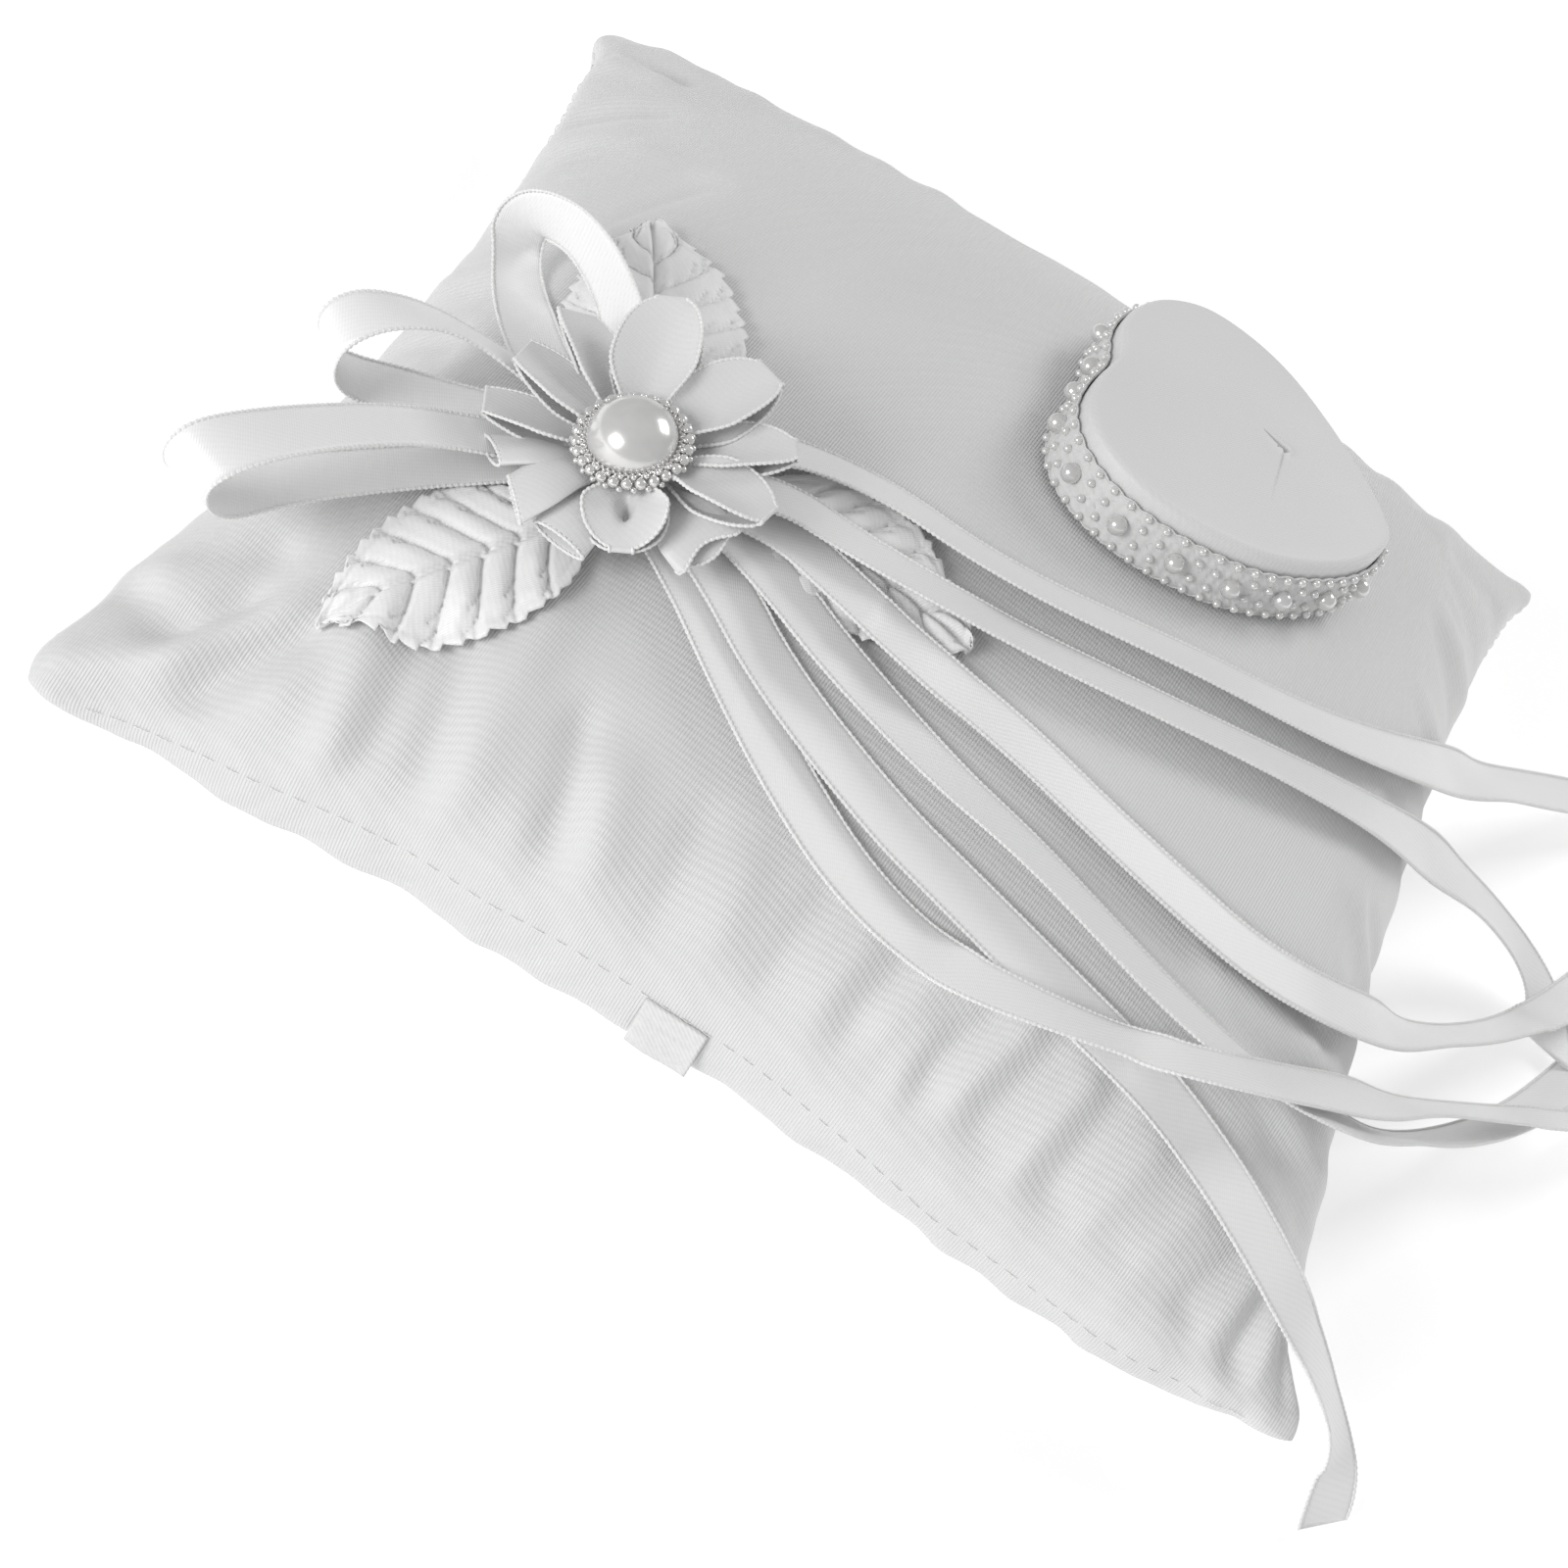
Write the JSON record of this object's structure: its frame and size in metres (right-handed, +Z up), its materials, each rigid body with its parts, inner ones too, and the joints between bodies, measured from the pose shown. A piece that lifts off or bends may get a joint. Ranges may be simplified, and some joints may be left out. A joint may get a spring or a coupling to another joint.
{
  "type": "ring bearer pillow",
  "caption": "Square satin cushion with a heart-shaped ring pad edged in pearls and a folded ribbon flower with leaves, bow loops and long streamers.",
  "frame": {"origin": "centre of the flat resting face of the back panel", "axes": "+Z up out of the front panel, +X along the seam that carries the loop label, +Y towards the side away from that seam"},
  "size_m": [0.2501, 0.2, 0.0752],
  "materials": {
    "pillow_satin": "white satin, fine twill-like weave",
    "filling": "loose white polyester fibre",
    "thread": "white sewing thread",
    "label_tape": "plain white woven tape",
    "pad_satin": "smooth white satin stretched over foam",
    "board": "stiff white card",
    "foam": "soft white foam",
    "net_tape": "white net tape",
    "pearl": "pearlescent white",
    "small_pearl": "pearlescent white",
    "silver_bead": "bright metallised silver",
    "felt": "white felt",
    "petal_satin": "folded satin ribbon with picot edge",
    "leaf_satin": "embossed stiff satin",
    "ribbon_satin": "flat satin ribbon with picot edge"
  },
  "bodies": {
    "root": {"front_panel": "pillow_satin", "back_panel": "pillow_satin", "fibre_filling": "filling", "edge_stitches": "thread", "ribbon_binding": "thread", "loop_label": "label_tape", "ring_pad_cover": "pad_satin", "ring_pad_board": "board", "ring_pad_foam": "foam", "trim_tape": "net_tape", "trim_large_pearls": "pearl", "pearl_cabochon": "pearl", "trim_small_beads": "small_pearl", "setting_beads": "silver_bead", "setting_cup": "silver_bead", "flower_backing": "felt", "petal_01": "petal_satin", "petal_02": "petal_satin", "petal_03": "petal_satin", "petal_04": "petal_satin", "petal_05": "petal_satin", "petal_06": "petal_satin", "petal_07": "petal_satin", "petal_08": "petal_satin", "petal_09": "petal_satin", "petal_10": "petal_satin", "petal_11": "petal_satin", "petal_12": "petal_satin", "leaf_left": "leaf_satin", "leaf_top": "leaf_satin", "leaf_right": "leaf_satin", "streamer_1": "ribbon_satin", "streamer_2": "ribbon_satin", "streamer_3": "ribbon_satin", "streamer_4": "ribbon_satin", "streamer_5": "ribbon_satin", "streamer_6": "ribbon_satin", "bow_loop_1": "ribbon_satin", "bow_loop_2": "ribbon_satin", "bow_loop_3": "ribbon_satin"}
  },
  "joints": []
}
